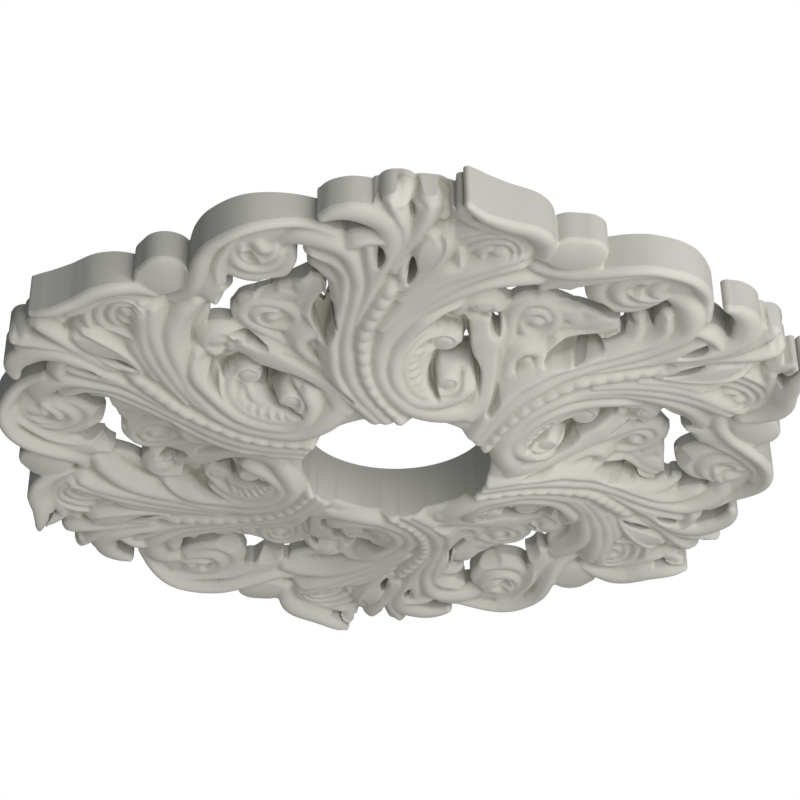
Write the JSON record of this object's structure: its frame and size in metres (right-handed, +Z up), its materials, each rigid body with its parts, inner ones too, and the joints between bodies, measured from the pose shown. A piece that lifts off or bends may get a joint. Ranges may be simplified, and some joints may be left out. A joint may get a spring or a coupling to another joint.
{
  "type": "ceiling rose",
  "caption": "Round pierced ceiling rose with swirling acanthus scrolls in deep relief round a plain centre hole and a flat back that fixes against a ceiling.",
  "frame": {"origin": "centre of the hole in the flat back face, which lies against the ceiling", "axes": "+Z up into the ceiling, out of the flat back; the carved face looks down along -Z; -Y runs out through the middle of the leaf nearest the viewer and +X is to the viewer's right as the rose is seen from below and in front"},
  "size_m": [0.7578, 0.7998, 0.0605],
  "materials": {
    "rose": "factory primed warm off-white, matt and smooth, over moulded rigid foam"
  },
  "bodies": {
    "root": {"ceiling_rose": "rose"}
  },
  "joints": []
}
